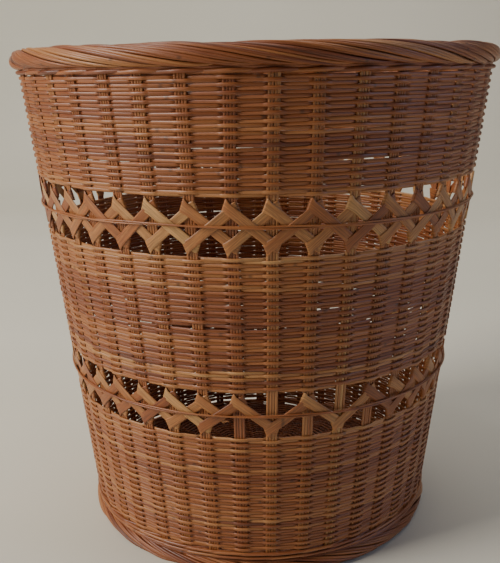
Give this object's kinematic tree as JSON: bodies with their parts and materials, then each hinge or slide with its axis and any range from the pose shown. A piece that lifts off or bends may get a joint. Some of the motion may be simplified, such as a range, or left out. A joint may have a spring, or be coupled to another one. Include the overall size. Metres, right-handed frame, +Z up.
{
  "type": "wastebasket",
  "caption": "Round tapered wicker wastebasket of varnished cane, with open bands of zigzag splint and a rolled rope rim.",
  "frame": {"origin": "centre of the foot ring, on the surface that the basket stands on", "axes": "+Z up along the basket's axis; the wall is round, and -Y is the side that is seen first"},
  "size_m": [0.2982, 0.2982, 0.302],
  "materials": {
    "stake_cane": "varnished cane",
    "weaver_cane": "varnished cane",
    "splint": "varnished cane",
    "band_cane": "varnished cane",
    "border_cane": "varnished cane",
    "base_stick": "varnished cane",
    "base_weave": "varnished cane"
  },
  "bodies": {
    "root": {"stake_01": "stake_cane", "stake_02": "stake_cane", "stake_03": "stake_cane", "stake_04": "stake_cane", "stake_05": "stake_cane", "stake_06": "stake_cane", "stake_07": "stake_cane", "stake_08": "stake_cane", "stake_09": "stake_cane", "stake_10": "stake_cane", "stake_11": "stake_cane", "stake_12": "stake_cane", "stake_13": "stake_cane", "stake_14": "stake_cane", "stake_15": "stake_cane", "stake_16": "stake_cane", "stake_17": "stake_cane", "stake_18": "stake_cane", "stake_19": "stake_cane", "stake_20": "stake_cane", "stake_21": "stake_cane", "stake_22": "stake_cane", "stake_23": "stake_cane", "stake_24": "stake_cane", "stake_25": "stake_cane", "stake_26": "stake_cane", "stake_27": "stake_cane", "stake_28": "stake_cane", "stake_29": "stake_cane", "stake_30": "stake_cane", "stake_31": "stake_cane", "stake_32": "stake_cane", "stake_33": "stake_cane", "stake_34": "stake_cane", "stake_35": "stake_cane", "stake_36": "stake_cane", "stake_37": "stake_cane", "stake_38": "stake_cane", "stake_39": "stake_cane", "stake_40": "stake_cane", "stake_41": "stake_cane", "foot_border": "border_cane", "foot_waling": "weaver_cane", "bottom_weave": "weaver_cane", "middle_weave": "weaver_cane", "top_weave": "weaver_cane", "rim_waling": "weaver_cane", "rim_border": "border_cane", "lower_splint_first_lap": "splint", "lower_splint_second_lap": "splint", "upper_splint_first_lap": "splint", "upper_splint_second_lap": "splint", "lower_band_canes": "band_cane", "upper_band_canes": "band_cane", "base_weave": "base_weave", "base_sticks_lower": "base_stick", "base_sticks_upper": "base_stick"}
  },
  "joints": []
}
